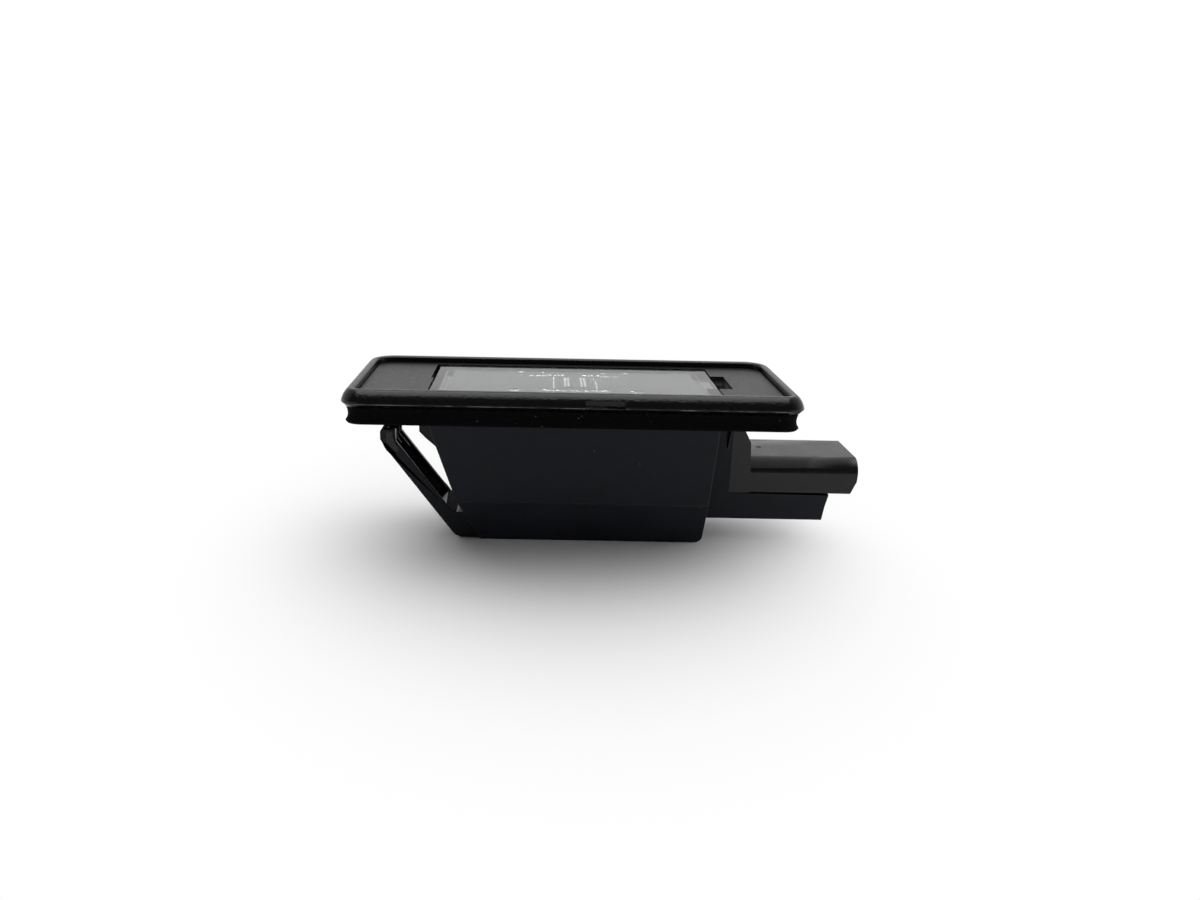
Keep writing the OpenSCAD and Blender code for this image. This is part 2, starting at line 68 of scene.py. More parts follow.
MM = 0.001
CAD_BOX = [list(corner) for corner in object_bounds()]
LENS_LOW, LENS_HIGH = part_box("lens")
FLOOR_Z = CAD_BOX[0][2]
TOP_Z = CAD_BOX[1][2]
SEAL_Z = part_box("gasket")[1].z          # the gasket's top, where the bezel begins
RIDGE_SHARE = 0.28                      # how far up the bezel its widest line runs
RIDGE_Z = SEAL_Z + RIDGE_SHARE * (TOP_Z - SEAL_Z)       # the tool parts at that line
FOOT_HEIGHT = 6.9 * MM                  # of the trough's tapered foot
FOOT_Z = FLOOR_Z + FOOT_HEIGHT          # where the trough's walls break into the foot

TWIN = 0.0005 * MM                      # two points that are nearer than this are one
HAIR = 0.01 * MM                        # heights that differ by less than this are alike
FLAT = math.radians(0.6)                # faces that turn by less than this are one
SHARP = math.radians(28)                # edges that turn by more than this are rounded
SMOOTH = math.radians(38)               # shading runs on over edges that turn by less

PLASTIC_IOR = 1.49                      # polypropylene and acrylic, and near polyamide's 1.53
GLASS_IOR = 1.52
FOAM_IOR = 1.5
COLOUR_A, COLOUR_B, COLOUR_OUT = 6, 7, 2        # the Mix node's colour sockets, by place
NOISE_SPAN = {"From Min": 0.3, "From Max": 0.7}         # where most of a noise's values lie


def linear(hex_colour):
    """An sRGB hex colour as linear RGBA."""
    value = hex_colour.lstrip("#")
    parts = [int(value[i:i + 2], 16) / 255 for i in (0, 2, 4)]
    return [c / 12.92 if c <= 0.04045 else ((c + 0.055) / 1.055) ** 2.4 for c in parts] + [1.0]


def colour(name, hex_colour, words):
    """A colour property with its default given as sRGB hex."""
    return bpy.props.FloatVectorProperty(
        name=name, description=words, subtype="COLOR", size=4, min=0, max=1,
        default=linear(hex_colour))


def length(name, mm, words):
    """A length property with its default given in millimetres."""
    return bpy.props.FloatProperty(
        name=name, description=words, default=mm * MM, min=0, precision=5, unit="LENGTH")


class LampFinish(bpy.types.PropertyGroup):
    """Colours and grain sizes of the lamp's pieces."""
    trough: colour("Trough", "#1b1d24", "Matt black plastic of the trough, latch arm and cradle")
    bezel: colour("Bezel", "#0c0d10", "Grained black plastic of the bezel")
    foam: colour("Gasket", "#060607", "Black foam of the gasket")
    # this colour is the dust's, and also paints the highlight along the bezel's ridge
    dust_and_highlight: colour("Lint", "#77787c", "Fine dust and fibre that clings to the black pieces")
    lens: colour("Lens", "#eef1f3", "Clear plastic of the lens")
    holder: colour("Bulb holder", "#101114", "Black plastic of the bulb holder and its shroud")
    tin: colour("Terminals", "#b9b6ab", "Tin plating on the brass terminals")
    glass: colour("Bulb glass", "#f4f8f8", "Clear glass of the bulb")
    lead: colour("Bulb leads", "#a9a39b", "Nickel wire of the bulb's leads")
    tungsten: colour("Filament", "#5d5b5a", "Drawn tungsten of the filament")
    grain: length("Bezel grain", 0.32, "Width of one pebble of the bezel's grain")
    pore: length("Foam pore", 0.3, "Width of one pore of the gasket's foam")
    edge: length("Moulded edge", 0.14, "Radius on the outer edges of housing and bulb holder")
    lens_t: length("Lens plate", 1.6, "Thickness of the lens plate")


class LampCoil(bpy.types.PropertyGroup):
    """The filament's coil."""
    wire: length("Wire", 0.07, "Thickness of the filament's wire")
    turns: bpy.props.IntProperty(
        name="Turns", description="Turns of the filament's coil", default=30, min=4, max=80)


class LampStudio(bpy.types.PropertyGroup):
    """Floor, light and camera."""
    floor: colour("Floor", "#f4f4f4", "Colour of the floor")
    sky: bpy.props.FloatProperty(
        name="Backdrop light", description="Strength of the light that the backdrop sheds",
        default=3.7, min=0)
    back: bpy.props.FloatProperty(
        name="Backdrop mirrored", description="Strength at which glossy surfaces show the backdrop",
        default=0.82, min=0)
    front: bpy.props.FloatProperty(
        name="Room mirrored", description="Strength at which they show the room behind the camera",
        default=0.13, min=0)
    key: bpy.props.FloatProperty(
        name="Overhead light", description="Power of the soft light overhead, seen in reflections",
        default=2.8, min=0, unit="POWER")
    fade: length(
        "White from", 64, "Distance from the lamp at which the floor has turned into plain white")
    eye: bpy.props.FloatVectorProperty(
        name="Camera", description="Place of the camera", subtype="TRANSLATION", unit="LENGTH",
        default=(-4.846 * MM, -152.5 * MM, 38.8 * MM), precision=5)
    pitch: bpy.props.FloatProperty(
        name="Camera tilt", description="How far the camera looks down", subtype="ANGLE",
        default=math.radians(16.918))
    roll: bpy.props.FloatProperty(
        name="Camera roll", description="How far the camera leans", subtype="ANGLE",
        default=math.radians(1.05))
    focal: bpy.props.FloatProperty(
        name="Lens", description="Focal length in millimetres on a 36 mm frame",
        default=28.8, min=1)
    shift: bpy.props.FloatProperty(
        name="Shift", description="Sideways shift of the frame, as a share of its width",
        default=0.0503)


def add_node(tree, kind, inputs=None, **settings):
    """Adds a node with its settings, and gives each input a value or a link."""
    made = tree.nodes.new(kind)
    for name, value in settings.items():
        setattr(made, name, value)
    for name, value in (inputs or {}).items():
        if isinstance(value, bpy.types.NodeSocket):
            tree.links.new(value, made.inputs[name])
        else:
            made.inputs[name].default_value = value
    return made


def new_material(name):
    """A node material with an empty tree and its output."""
    material = bpy.data.materials.new(name)
    material.use_nodes = True
    material.node_tree.nodes.clear()
    output = material.node_tree.nodes.new("ShaderNodeOutputMaterial")
    return material, material.node_tree, output


def shade(value, gain):
    """A colour made lighter or darker by a factor."""
    return [min(1.0, c * gain) for c in value[:3]] + [1.0]


def per(mm):
    """The texture scale at which a pattern repeats every so many millimetres."""
    return 1 / (mm * MM)


def moulded_matt(name, base, dust_and_highlight):
    """Polypropylene against a finely blasted tool.

    To the eye a matt blue-black skin, with faint flow marks and specks of dust."""
    material, tree, output = new_material(name)
    place = add_node(tree, "ShaderNodeTexCoord").outputs["Object"]
    # flow marks, drawn out along the lamp: 9 mm long and 3 mm high
    stretched = add_node(tree, "ShaderNodeMapping", {
        "Vector": place, "Scale": (per(9.09), per(3.03), per(3.03))})
    flow = add_node(tree, "ShaderNodeTexNoise", {
        "Vector": stretched.outputs["Vector"], "Scale": 1.0, "Detail": 3.0, "Roughness": 0.55})
    share = add_node(tree, "ShaderNodeMapRange", {"Value": flow.outputs["Fac"], **NOISE_SPAN})
    tone = add_node(tree, "ShaderNodeMix", {
        "Factor": share.outputs["Result"], COLOUR_A: shade(base, 0.8),
        COLOUR_B: shade(base, 1.25)}, data_type="RGBA")
    # one speck of dust every 3 mm, at most 0.022 of that in radius, so up to 0.13 mm wide
    dust = add_node(tree, "ShaderNodeTexVoronoi", {"Vector": place, "Scale": per(3.03)})
    speck = add_node(tree, "ShaderNodeMath", {
        0: dust.outputs["Distance"], 1: 0.022}, operation="LESS_THAN")
    dusty = add_node(tree, "ShaderNodeMix", {
        "Factor": speck.outputs["Value"], COLOUR_A: tone.outputs[COLOUR_OUT],
        COLOUR_B: list(dust_and_highlight)}, data_type="RGBA")
    gloss = add_node(tree, "ShaderNodeMapRange", {
        "Value": share.outputs["Result"], "To Min": 0.42, "To Max": 0.54})
    # the blasted skin: 0.15 mm from dent to dent
    skin = add_node(tree, "ShaderNodeTexNoise", {
        "Vector": place, "Scale": per(0.15385), "Detail": 2.0})
    relief = add_node(tree, "ShaderNodeBump", {
        "Height": skin.outputs["Fac"], "Strength": 0.15, "Distance": 0.02 * MM})
    surface = add_node(tree, "ShaderNodeBsdfPrincipled", {
        "Base Color": dusty.outputs[COLOUR_OUT], "Roughness": gloss.outputs["Result"],
        "Normal": relief.outputs["Normal"], "IOR": PLASTIC_IOR, "Specular IOR Level": 0.15})
    tree.links.new(surface.outputs["BSDF"], output.inputs["Surface"])
    return material


def moulded_glossy(name, base, gloss):
    """Black plastic against a polished tool.

    To the eye a dark mirror with a slight ripple, so that reflections waver."""
    material, tree, output = new_material(name)
    place = add_node(tree, "ShaderNodeTexCoord").outputs["Object"]
    # ripple left by shrinkage, 4 mm from wave to wave
    ripple = add_node(tree, "ShaderNodeTexNoise", {
        "Vector": place, "Scale": per(4), "Detail": 2.0})
    relief = add_node(tree, "ShaderNodeBump", {
        "Height": ripple.outputs["Fac"], "Strength": 0.25, "Distance": 0.15 * MM})
    sheen = add_node(tree, "ShaderNodeMapRange", {
        "Value": ripple.outputs["Fac"], **NOISE_SPAN, "To Min": gloss * 0.8, "To Max": gloss * 1.3})
    tone = add_node(tree, "ShaderNodeMix", {
        "Factor": ripple.outputs["Fac"], COLOUR_A: shade(base, 0.85),
        COLOUR_B: shade(base, 1.15)}, data_type="RGBA")
    surface = add_node(tree, "ShaderNodeBsdfPrincipled", {
        "Base Color": tone.outputs[COLOUR_OUT], "Roughness": sheen.outputs["Result"],
        "Normal": relief.outputs["Normal"], "IOR": PLASTIC_IOR, "Specular IOR Level": 0.3})
    tree.links.new(surface.outputs["BSDF"], output.inputs["Surface"])
    return material


def moulded_grained(name, base, grain, dust_and_highlight, gloss, level):
    """Polypropylene against an etched tool.

    To the eye shallow pebbles, coloured lighter on top and darker in their hollows as painted
    shade, and a pale broken line on the bezel's ridge, which is a painted highlight. gloss is the
    roughness of the pebbles, level the strength of the shine."""
    material, tree, output = new_material(name)
    place = add_node(tree, "ShaderNodeTexCoord").outputs["Object"]
    # the hollows wander, so the pebbles are bent by a noise of twice their size. The fine grain
    # between them is 3.5 times smaller, and counts 4.5 times less
    bend = add_node(tree, "ShaderNodeTexNoise", {
        "Vector": place, "Scale": 0.5 / grain, "Detail": 1.0})
    push = add_node(tree, "ShaderNodeVectorMath", {
        0: bend.outputs["Color"], "Scale": grain * 0.9}, operation="SCALE")
    bent = add_node(tree, "ShaderNodeVectorMath", {
        0: place, 1: push.outputs["Vector"]}, operation="ADD")
    pebble = add_node(tree, "ShaderNodeTexVoronoi", {
        "Vector": bent.outputs["Vector"], "Scale": 1.0 / grain}, feature="SMOOTH_F1")
    fine = add_node(tree, "ShaderNodeTexNoise", {
        "Vector": place, "Scale": 3.5 / grain, "Detail": 3.0})
    height = add_node(tree, "ShaderNodeMath", {
        0: pebble.outputs["Distance"], 1: -4.5, 2: fine.outputs["Fac"]}, operation="MULTIPLY_ADD")
    relief = add_node(tree, "ShaderNodeBump", {
        "Height": height.outputs["Value"], "Strength": 0.9, "Distance": 0.008 * MM})
    # painted shade: the pebbles' tops are coloured lighter and their hollows darker
    share = add_node(tree, "ShaderNodeMapRange", {
        "Value": pebble.outputs["Distance"], "From Min": 0.1, "From Max": 0.75})
    tone = add_node(tree, "ShaderNodeMix", {
        "Factor": share.outputs["Result"], COLOUR_A: shade(base, 1.35),
        COLOUR_B: shade(base, 0.6)}, data_type="RGBA")
    dull = add_node(tree, "ShaderNodeMapRange", {
        "Value": pebble.outputs["Distance"], "From Min": 0.1, "From Max": 0.8,
        "To Min": gloss, "To Max": gloss * 1.5})
    # painted highlight: a pale broken line about 0.1 mm high along the ridge
    apart = add_node(tree, "ShaderNodeSeparateXYZ", {"Vector": place})
    off = add_node(tree, "ShaderNodeMath", {
        0: apart.outputs["Z"], 1: RIDGE_Z}, operation="SUBTRACT")
    far = add_node(tree, "ShaderNodeMath", {0: off.outputs["Value"]}, operation="ABSOLUTE")
    line = add_node(tree, "ShaderNodeMapRange", {
        "Value": far.outputs["Value"], "From Min": 0.03 * MM, "From Max": 0.08 * MM,
        "To Min": 1.0, "To Max": 0.0})
    # its breaks come every 4 mm or so
    cut = add_node(tree, "ShaderNodeTexNoise", {
        "Vector": place, "Scale": per(3.846), "Detail": 4.0})
    broken = add_node(tree, "ShaderNodeMapRange", {
        "Value": cut.outputs["Fac"], "From Min": 0.42, "From Max": 0.62})
    ridge_highlight = add_node(tree, "ShaderNodeMath", {
        0: line.outputs["Result"], 1: broken.outputs["Result"]}, operation="MULTIPLY")
    # painted highlight: the pale line is mixed into the colour here
    worn = add_node(tree, "ShaderNodeMix", {
        "Factor": ridge_highlight.outputs["Value"], COLOUR_A: tone.outputs[COLOUR_OUT],
        COLOUR_B: list(dust_and_highlight)}, data_type="RGBA")
    surface = add_node(tree, "ShaderNodeBsdfPrincipled", {
        "Base Color": worn.outputs[COLOUR_OUT], "Roughness": dull.outputs["Result"],
        "Normal": relief.outputs["Normal"], "IOR": PLASTIC_IOR, "Specular IOR Level": level})
    tree.links.new(surface.outputs["BSDF"], output.inputs["Surface"])
    return material


def foam(name, base, pore, dust_and_highlight):
    """Closed-cell rubber foam, cut from sheet.

    To the eye a dull, open-pored face that swallows light, with painted shade in its pores and a
    little fibre and dust on it."""
    material, tree, output = new_material(name)
    place = add_node(tree, "ShaderNodeTexCoord").outputs["Object"]
    # pores, and a grain between them that is 2.5 times smaller
    cells = add_node(tree, "ShaderNodeTexVoronoi", {"Vector": place, "Scale": 1.0 / pore})
    fine = add_node(tree, "ShaderNodeTexNoise", {
        "Vector": place, "Scale": 2.5 / pore, "Detail": 4.0})
    depth = add_node(tree, "ShaderNodeMath", {
        0: cells.outputs["Distance"], 1: fine.outputs["Fac"]}, operation="ADD")
    relief = add_node(tree, "ShaderNodeBump", {
        "Height": depth.outputs["Value"], "Strength": 0.9, "Distance": 0.08 * MM})
    # painted shade: the pores are coloured darker and the walls between them lighter
    share = add_node(tree, "ShaderNodeMapRange", {
        "Value": cells.outputs["Distance"], "From Min": 0.05, "From Max": 0.6})
    tone = add_node(tree, "ShaderNodeMix", {
        "Factor": share.outputs["Result"], COLOUR_A: shade(base, 0.5),
        COLOUR_B: shade(base, 1.5)}, data_type="RGBA")
    # one fibre of dust every 1.1 mm, up to 0.1 mm thick and twice as long
    drawn = add_node(tree, "ShaderNodeMapping", {
        "Vector": place, "Rotation": (0.4, 0.3, 0.2), "Scale": (0.5, 1, 1)})
    dust = add_node(tree, "ShaderNodeTexVoronoi", {
        "Vector": drawn.outputs["Vector"], "Scale": per(1.111)})
    speck = add_node(tree, "ShaderNodeMath", {
        0: dust.outputs["Distance"], 1: 0.045}, operation="LESS_THAN")
    dusty = add_node(tree, "ShaderNodeMix", {
        "Factor": speck.outputs["Value"], COLOUR_A: tone.outputs[COLOUR_OUT],
        COLOUR_B: list(dust_and_highlight)}, data_type="RGBA")
    surface = add_node(tree, "ShaderNodeBsdfPrincipled", {
        "Base Color": dusty.outputs[COLOUR_OUT], "Roughness": 0.92,
        "Normal": relief.outputs["Normal"], "IOR": FOAM_IOR, "Specular IOR Level": 0.08})
    tree.links.new(surface.outputs["BSDF"], output.inputs["Surface"])
    return material


def clear_moulding(name, base, roughness, ior):
    """Clear plastic against a polished tool, or blown glass.

    To the eye clear from above and a mirror at a low angle, with faint waves of shrinkage."""
    material, tree, output = new_material(name)
    place = add_node(tree, "ShaderNodeTexCoord").outputs["Object"]
    # 4.5 mm from wave to wave
    wave = add_node(tree, "ShaderNodeTexNoise", {
        "Vector": place, "Scale": per(4.545), "Detail": 1.0})
    relief = add_node(tree, "ShaderNodeBump", {
        "Height": wave.outputs["Fac"], "Strength": 0.12, "Distance": 0.05 * MM})
    haze = add_node(tree, "ShaderNodeMapRange", {
        "Value": wave.outputs["Fac"], "To Min": roughness, "To Max": roughness * 1.8})
    surface = add_node(tree, "ShaderNodeBsdfPrincipled", {
        "Base Color": list(base), "Roughness": haze.outputs["Result"],
        "Normal": relief.outputs["Normal"], "IOR": ior, "Transmission Weight": 1.0})
    tree.links.new(surface.outputs["BSDF"], output.inputs["Surface"])
    return material


def metal(name, base, roughness, line_mm, along):
    """Stamped or drawn metal.

    To the eye bright, with fine lines that its tool left along the strip or wire. line_mm is
    the width of a line. The lines run along one axis (0, 1 or 2) and are 20 times as long."""
    material, tree, output = new_material(name)
    place = add_node(tree, "ShaderNodeTexCoord").outputs["Object"]
    scale = [per(line_mm) * (0.05 if axis == along else 1.0) for axis in range(3)]
    drawn = add_node(tree, "ShaderNodeMapping", {"Vector": place, "Scale": scale})
    lines = add_node(tree, "ShaderNodeTexNoise", {
        "Vector": drawn.outputs["Vector"], "Scale": 1.0, "Detail": 2.0})
    share = add_node(tree, "ShaderNodeMapRange", {"Value": lines.outputs["Fac"], **NOISE_SPAN})
    tone = add_node(tree, "ShaderNodeMix", {
        "Factor": share.outputs["Result"], COLOUR_A: shade(base, 0.8),
        COLOUR_B: shade(base, 1.08)}, data_type="RGBA")
    relief = add_node(tree, "ShaderNodeBump", {
        "Height": lines.outputs["Fac"], "Strength": 0.2, "Distance": 0.01 * MM})
    surface = add_node(tree, "ShaderNodeBsdfPrincipled", {
        "Base Color": tone.outputs[COLOUR_OUT], "Metallic": 1.0, "Roughness": roughness,
        "Normal": relief.outputs["Normal"]})
    tree.links.new(surface.outputs["BSDF"], output.inputs["Surface"])
    return material


def dress(node_name, material):
    """Gives a CAD node its finish."""
    mesh = NODE[node_name].data
    mesh.materials.clear()
    mesh.materials.append(material)


def without_slivers(form):
    """Joins the twin points that a bevel or a union leaves, and drops the faces between them."""
    bmesh.ops.remove_doubles(form, verts=form.verts, dist=TWIN)


def soft_edged(node_name, piece_name, radius, keep, crease=None):
    """A copy of a CAD node with its edges rounded, to stand for the node.

    keep(edge) picks the sharp outer edges to round, and crease(edge) the faint ones."""
    mesh = NODE[node_name].data.copy()
    mesh.name = piece_name
    mesh.materials.clear()
    piece = bpy.data.objects.new(piece_name, mesh)
    bpy.context.scene.collection.objects.link(piece)

    def is_rounded(edge):
        if not edge.is_manifold or edge.calc_length() <= 4 * radius:
            return False                # no room for the rounding
        outer = edge.calc_face_angle_signed(0) > SHARP
        return outer and keep(edge) or crease is not None and crease(edge)

    form = bmesh.new()
    form.from_mesh(mesh)
    bmesh.ops.remove_doubles(form, verts=form.verts, dist=TWIN)
    bmesh.ops.dissolve_limit(
        form, angle_limit=FLAT, verts=form.verts, edges=form.edges, use_dissolve_boundaries=False)
    form.normal_update()
    bmesh.ops.bevel(
        form, geom=[edge for edge in form.edges if is_rounded(edge)], offset=radius,
        offset_type="OFFSET", segments=2, profile=0.5, affect="EDGES", clamp_overlap=False,
        loop_slide=True)
    without_slivers(form)
    form.to_mesh(mesh)
    form.free()
    for polygon in mesh.polygons:
        polygon.use_smooth = True
    mesh.set_sharp_from_angle(angle=SMOOTH)
    # flat faces stay flat and only the rounded edges turn the light
    weigh = piece.modifiers.new("flat_faces", "WEIGHTED_NORMAL")
    weigh.keep_sharp = True
    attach(piece, "root")
    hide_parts(node_name)
    return piece


class LAMP_OT_housing(bpy.types.Operator):
    """Rounds the housing's edges and gives its bezel, trough and latch arm their finishes"""
    bl_idname = "lamp.housing"
    bl_label = "Housing"

    # the finishes, in the order of the piece's material slots
    matt, satin, polished, dull = range(4)

    foot_band = 0.02 * MM       # how near to the foot's line its crease lies
    foot_turn = math.radians(1)         # a crease turns by more than this
    slot_start, slot_end = -0.5 * MM, 4 * MM    # the snap slot, from the lens's right end
    slot_half = 6 * MM          # half the slot's length
    slot_up = 0.5               # its faces look up by less than this
    seat_rise = 0.05 * MM       # how far over the lens plate's underside its seat may lie
    recess_drop = 0.5 * MM      # the recess lies at least this far under the bezel's top
    recess_up = 0.99            # and its floor looks up by more than this
    arm_gap = 2 * MM            # further than this from the lens's left end there is only the arm
    arm_drop = 3 * MM           # and lower than this only its outer faces
    arm_skin = 0.25 * MM        # the arm's outer faces lie within this of its sides
    arm_reach = 7 * MM          # where its channel ends, from the lens's left end
    arm_left = -0.3             # its left face looks further to the left than this
    wall_start = 0.6 * MM       # where the trough's end wall starts, from the lens's left end
    wall_slant = 0.342          # how far that wall slants in for each unit down
    worn = 0.16 * MM            # a face narrower than this is an edge, worn smooth

    def execute(self, context):
        finish = context.scene.lamp_finish
        piece = soft_edged("housing", "housing_moulding", finish.edge, self.is_below, self.is_foot)
        mesh = piece.data
        mesh.materials.append(moulded_matt(
            "Polypropylene, black, blasted tool", finish.trough, finish.dust_and_highlight))
        mesh.materials.append(moulded_grained(
            "Polypropylene, black, etched tool, satin", finish.bezel, finish.grain, finish.dust_and_highlight,
            gloss=0.16, level=0.25))
        mesh.materials.append(moulded_glossy(
            "Polypropylene, black, polished tool", finish.holder, gloss=0.14))
        mesh.materials.append(moulded_grained(
            "Polypropylene, black, etched tool, dull", finish.bezel, finish.grain, finish.dust_and_highlight,
            gloss=0.26, level=0.2))
        arm = [v.co.y for v in mesh.vertices
               if v.co.x < LENS_LOW.x - self.arm_gap and v.co.z < -self.arm_drop]
        channel = min(arm) + self.arm_skin, max(arm) - self.arm_skin
        seat = LENS_HIGH.z - finish.lens_t + self.seat_rise
        for polygon in mesh.polygons:
            if polygon.center.z > SEAL_Z + HAIR:
                polygon.material_index = self.bezel_finish(polygon, seat)
            elif self.in_channel(polygon, channel) or self.is_edge(mesh, polygon):
                polygon.material_index = self.polished
        return {"FINISHED"}

    def is_below(self, edge):
        """Whether an edge lies below the bezel, whose own rounds are in the CAD."""
        return edge.verts[0].co.z < SEAL_Z

    def is_foot(self, edge):
        """Whether an edge is the faint crease where the trough's walls break into its foot."""
        return (max(abs(v.co.z - FOOT_Z) for v in edge.verts) < self.foot_band
                and min(v.co.x for v in edge.verts) > LENS_LOW.x
                and edge.calc_face_angle_signed(0) > self.foot_turn)

    def bezel_finish(self, polygon, seat):
        """Matt in the snap slot and on the lens's ledge, dull in the recess, and else satin."""
        middle, normal = polygon.center, polygon.normal
        in_slot = (LENS_HIGH.x + self.slot_start < middle.x < LENS_HIGH.x + self.slot_end
                   and abs(middle.y) < self.slot_half and normal.z < self.slot_up)
        in_seat = (middle.z < seat and LENS_LOW.x < middle.x < LENS_HIGH.x
                   and abs(middle.y) < LENS_HIGH.y)
        if in_slot or in_seat:
            return self.matt
        in_recess = middle.z < TOP_Z - self.recess_drop and normal.z > self.recess_up
        return self.dull if in_recess else self.satin

    def in_channel(self, polygon, channel):
        """Whether a face is in the arm's channel or its head's pocket, which are polished."""
        middle = polygon.center
        wall = min(self.arm_reach, self.wall_start - self.wall_slant * middle.z)
        return (channel[0] < middle.y < channel[1] and middle.z < 0
                and middle.x < LENS_LOW.x + wall and polygon.normal.x > self.arm_left)

    def is_edge(self, mesh, polygon):
        """Whether a face is a narrow one, where the tool's edge is worn smooth."""
        corners = [mesh.vertices[i].co for i in polygon.vertices]
        sides = [(a - b).length for a, b in zip(corners, corners[1:] + corners[:1])]
        return polygon.area < self.worn * max(sides)


class LAMP_OT_gasket(bpy.types.Operator):
    """Gives the gasket its foam"""
    bl_idname = "lamp.gasket"
    bl_label = "Gasket"

    def execute(self, context):
        finish = context.scene.lamp_finish
        dress("gasket", foam("Rubber foam, black, cut", finish.foam, finish.pore, finish.dust_and_highlight))
        return {"FINISHED"}


class LAMP_OT_lens(bpy.types.Operator):
    """Gives the lens its clear plastic and the fine optics on its underside"""
    bl_idname = "lamp.lens"
    bl_label = "Lens"

    # rows of roof-shaped ridges along the lamp, alike on both sides of the lens's middle, in mm:
    # place across the lamp, ridge width, and where each ridge starts and ends from the middle
    rows = (
        (5.35, 0.34, ((1.6, 2.1), (2.3, 2.75), (2.95, 3.3), (3.6, 4.4))),
        (2.87, 0.3, ((0.9, 1.15), (1.45, 1.7), (3.2, 3.4))),
        (7.2, 0.24, ((8.5, 9.2), (4.9, 5.2))),
        (4.4, 0.16, ((4.5, 6.2), (6.6, 7.4))),
        (-5.2, 0.26, ((4.2, 5.1), (9, 9.9))),
        (-5.6, 0.3, ((0.15, 0.7), (1.5, 2.1), (2.5, 3), (3.3, 3.6), (3.9, 4.6), (5, 5.3),
                     (8.8, 10.1))),
    )
    sunk = 0.05                 # how far the ridges reach into the plate, in mm

    # the CAD's coarse optics that the ridges stand for
    optics = 0.02 * MM, 0.4 * MM        # how far under the plate their points lie
    line_start = 6.6 * MM       # the broken line lies behind this
    bar = -4.5 * MM, -3.6 * MM  # the cross bar, from front to back
    bar_half = 3 * MM           # half its length
    left = 0.03 * MM            # the height that is left of them

    def execute(self, context):
        finish = context.scene.lamp_finish
        mesh = NODE["lens"].data.copy()
        piece = bpy.data.objects.new("lens_moulding", mesh)
        context.scene.collection.objects.link(piece)
        top = max(v.co.z for v in mesh.vertices)
        plate = [v.co.x for v in mesh.vertices if v.co.z > top - HAIR]
        under = top - finish.lens_t
        self.plain_underside(mesh, under)
        ridges = self.ridges(context, (min(plate) + max(plate)) / 2, under)
        joined = piece.modifiers.new("optics", "BOOLEAN")
        joined.operation = "UNION"
        joined.solver = "EXACT"
        joined.object = ridges
        depsgraph = context.evaluated_depsgraph_get()
        piece.data = bpy.data.meshes.new_from_object(piece.evaluated_get(depsgraph))
        piece.modifiers.clear()
        bpy.data.objects.remove(ridges)
        form = bmesh.new()
        form.from_mesh(piece.data)
        without_slivers(form)
        form.to_mesh(piece.data)
        form.free()
        piece.data.materials.clear()
        piece.data.materials.append(clear_moulding(
            "Acrylic, clear, moulded", finish.lens, roughness=0.02, ior=PLASTIC_IOR))
        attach(piece, "root")
        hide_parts("lens")
        return {"FINISHED"}

    def plain_underside(self, mesh, under):
        """Levels the broken line along the lens's back edge and the cross bar in front of it."""
        form = bmesh.new()
        form.from_mesh(mesh)
        for vertex in form.verts:
            x, y, z = vertex.co
            in_line = y > self.line_start
            in_bar = self.bar[0] < y < self.bar[1] and abs(x) < self.bar_half
            if self.optics[0] < under - z < self.optics[1] and (in_line or in_bar):
                vertex.co.z = under - self.left
        form.to_mesh(mesh)
        form.free()

    def ridges(self, context, middle, under):
        """One object of small right-angled roofs that hang from the underside."""
        form = bmesh.new()
        for depth, width, spans in self.rows:
            half = width / 2
            section = ((-half - self.sunk, self.sunk), (half + self.sunk, self.sunk), (0, -half))
            for side in (-1, 1):
                for span in spans:
                    start, end = [
                        [form.verts.new((middle + side * reach * MM, (depth + across) * MM,
                                         under + rise * MM)) for across, rise in section]
                        for reach in span]
                    form.faces.new(start)
                    form.faces.new(reversed(end))
                    for i in range(3):
                        j = (i + 1) % 3
                        form.faces.new((start[i], end[i], end[j], start[j]))
        bmesh.ops.recalc_face_normals(form, faces=form.faces)
        mesh = bpy.data.meshes.new("lens_ridges")
        form.to_mesh(mesh)
        form.free()
        ridges = bpy.data.objects.new("lens_ridges", mesh)
        context.scene.collection.objects.link(ridges)
        return ridges


class LAMP_OT_holder(bpy.types.Operator):
    """Rounds the edges of the bulb holder's collar and plug socket, and gives it its plastic"""
    bl_idname = "lamp.holder"
    bl_label = "Bulb holder"

    collar_start = 2.2 * MM     # where the barrel ends and the collar starts, from the lens's end

    def execute(self, context):
        finish = context.scene.lamp_finish
        piece = soft_edged("bulb_holder", "bulb_holder_moulding", finish.edge, self.is_outside)
        piece.data.materials.append(moulded_glossy(
            "Polyamide, black, moulded", finish.holder, gloss=0.22))
        return {"FINISHED"}

    def is_outside(self, edge):
        """Whether an edge is on the collar or the socket, and not on the barrel in the trough."""
        return edge.verts[0].co.x > LENS_HIGH.x + self.collar_start


class LAMP_OT_terminals(bpy.types.Operator):
    """Gives the two terminals their plated metal"""
    bl_idname = "lamp.terminals"
    bl_label = "Terminals"

    def execute(self, context):
        finish = context.scene.lamp_finish
        plated = metal(
            "Brass, tin-plated, stamped", finish.tin, roughness=0.32, line_mm=0.08, along=0)
        dress("terminal_live", plated)
        dress("terminal_earth", plated)
        return {"FINISHED"}


class LAMP_OT_bulb(bpy.types.Operator):
    """Gives the bulb its glass, leads and bead"""
    bl_idname = "lamp.bulb"
    bl_label = "Bulb"

    def execute(self, context):
        finish = context.scene.lamp_finish
        glass = clear_moulding(
            "Soda glass, blown and pinched", finish.glass, roughness=0.005, ior=GLASS_IOR)
        wire = metal("Nickel wire, drawn", finish.lead, roughness=0.3, line_mm=0.05, along=0)
        dress("bulb_glass", glass)
        dress("bulb_bead", glass)
        dress("bulb_lead_live", wire)
        dress("bulb_lead_earth", wire)
        return {"FINISHED"}


